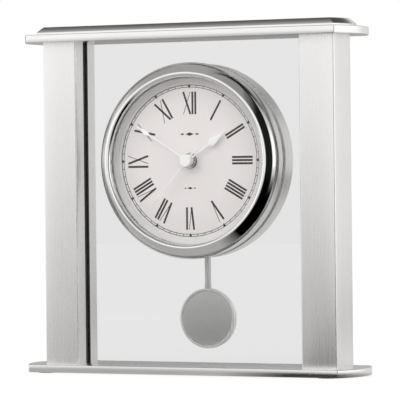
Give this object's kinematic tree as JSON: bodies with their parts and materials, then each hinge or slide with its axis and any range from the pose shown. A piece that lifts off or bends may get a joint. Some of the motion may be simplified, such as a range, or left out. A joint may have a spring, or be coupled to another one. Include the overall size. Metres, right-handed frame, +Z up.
{
  "type": "mantel clock",
  "caption": "Free-standing mantel clock: satin metal base, posts and top, a glass panel holding a round dial with polished bezel, and a short pendulum behind the glass.",
  "frame": {"origin": "under the middle of the base, on the surface that the clock stands on", "axes": "+Z up, -Y out of the dial towards the viewer, +X along the base to the viewer's right"},
  "size_m": [0.2094, 0.047, 0.2],
  "materials": {
    "satin_aluminium": "satin, brushed along its length",
    "polished_chrome": "polished",
    "brushed_steel": "circular brushed",
    "clear_glass": "clear, polished edges",
    "black_rubber": "matt",
    "pale_silicone": "translucent, moulded",
    "felt": "felt",
    "white_dial": "satin lacquer with printed numerals",
    "hand_silver": "gloss",
    "black_plastic": "fine moulded texture",
    "grey_plastic": "fine moulded texture",
    "gear_plastic": "moulded",
    "brass": "turned",
    "copper_wire": "enamelled wire",
    "screw_steel": "zinc plated",
    "board_green": "solder mask",
    "magnet_steel": "plain",
    "battery_wrap": "printed sleeve"
  },
  "bodies": {
    "case": {"base_plate": "satin_aluminium", "top_plate": "satin_aluminium", "top_cap": "satin_aluminium", "post_left": "satin_aluminium", "post_right": "satin_aluminium", "felt_feet": "felt", "base_screws": "screw_steel", "top_screws": "screw_steel", "case_screws": "screw_steel", "glass_panel": "clear_glass", "glass_seal_left": "black_rubber", "glass_seal_right": "black_rubber", "front_case": "satin_aluminium", "rear_case": "satin_aluminium", "case_gasket_front": "pale_silicone", "case_gasket_rear": "pale_silicone", "bezel_ring": "polished_chrome", "crystal": "clear_glass", "crystal_gasket": "black_rubber", "rehaut_ring": "brushed_steel", "dial_plate": "white_dial", "movement_front_cover": "black_plastic", "movement_back_cover": "black_plastic", "middle_plate": "grey_plastic", "train_plate": "grey_plastic", "dial_washer": "screw_steel", "dial_nut": "screw_steel", "stator": "magnet_steel", "motor_coil": "copper_wire", "pendulum_coil": "copper_wire", "circuit_board": "board_green", "quartz_crystal": "screw_steel", "battery": "battery_wrap", "positive_contact": "screw_steel", "negative_contact": "screw_steel", "hanger_pin": "screw_steel"},
    "minute": {"minute_hand": "hand_silver", "cannon_pinion": "brass"},
    "hour": {"hour_hand": "hand_silver", "hour_wheel": "gear_plastic"},
    "motion": {"motion_wheel": "gear_plastic", "setting_knob": "black_plastic"},
    "second": {"second_hand": "hand_silver", "second_wheel": "gear_plastic"},
    "third": {"third_wheel": "gear_plastic"},
    "centre": {"centre_wheel": "gear_plastic"},
    "intermediate": {"intermediate_wheel": "gear_plastic"},
    "rotor": {"rotor": "magnet_steel"},
    "pendulum": {"pendulum_hanger": "black_plastic", "pendulum_magnet": "magnet_steel", "pendulum_rod": "polished_chrome", "bob_disc": "brushed_steel", "bob_rim": "polished_chrome", "bob_back": "brushed_steel"}
  },
  "joints": [
    {"name": "minute_spin", "type": "hinge", "parent": "case", "child": "minute", "pos_m": [0, 0, 0.1215], "axis": [0, 1, 0], "continuous": true},
    {"name": "hour_spin", "type": "hinge", "parent": "case", "child": "hour", "pos_m": [0, 0, 0.1215], "axis": [0, 1, 0], "continuous": true},
    {"name": "motion_spin", "type": "hinge", "parent": "case", "child": "motion", "pos_m": [-0.00846, 0, 0.12458], "axis": [0, 1, 0], "continuous": true},
    {"name": "second_spin", "type": "hinge", "parent": "case", "child": "second", "pos_m": [0, 0, 0.1215], "axis": [0, 1, 0], "continuous": true},
    {"name": "third_spin", "type": "hinge", "parent": "case", "child": "third", "pos_m": [0.00812, 0, 0.11854], "axis": [0, 1, 0], "continuous": true},
    {"name": "centre_spin", "type": "hinge", "parent": "case", "child": "centre", "pos_m": [0, 0, 0.1215], "axis": [0, 1, 0], "continuous": true},
    {"name": "intermediate_spin", "type": "hinge", "parent": "case", "child": "intermediate", "pos_m": [-0.00385, 0, 0.116], "axis": [0, 1, 0], "continuous": true},
    {"name": "rotor_spin", "type": "hinge", "parent": "case", "child": "rotor", "pos_m": [-0.00991, 0, 0.11379], "axis": [0, 1, 0], "continuous": true},
    {"name": "pendulum_swing", "type": "hinge", "parent": "case", "child": "pendulum", "pos_m": [0, 0, 0.1123], "axis": [0, 1, 0], "range_deg": [-8, 8]}
  ],
  "couplings": [
    {"joint": "hour_spin", "follows": "minute_spin", "ratio": 0.083333},
    {"joint": "motion_spin", "follows": "minute_spin", "ratio": -0.33333},
    {"joint": "third_spin", "follows": "second_spin", "ratio": -0.13333},
    {"joint": "centre_spin", "follows": "second_spin", "ratio": 0.016667},
    {"joint": "intermediate_spin", "follows": "second_spin", "ratio": -5},
    {"joint": "rotor_spin", "follows": "second_spin", "ratio": 30}
  ]
}
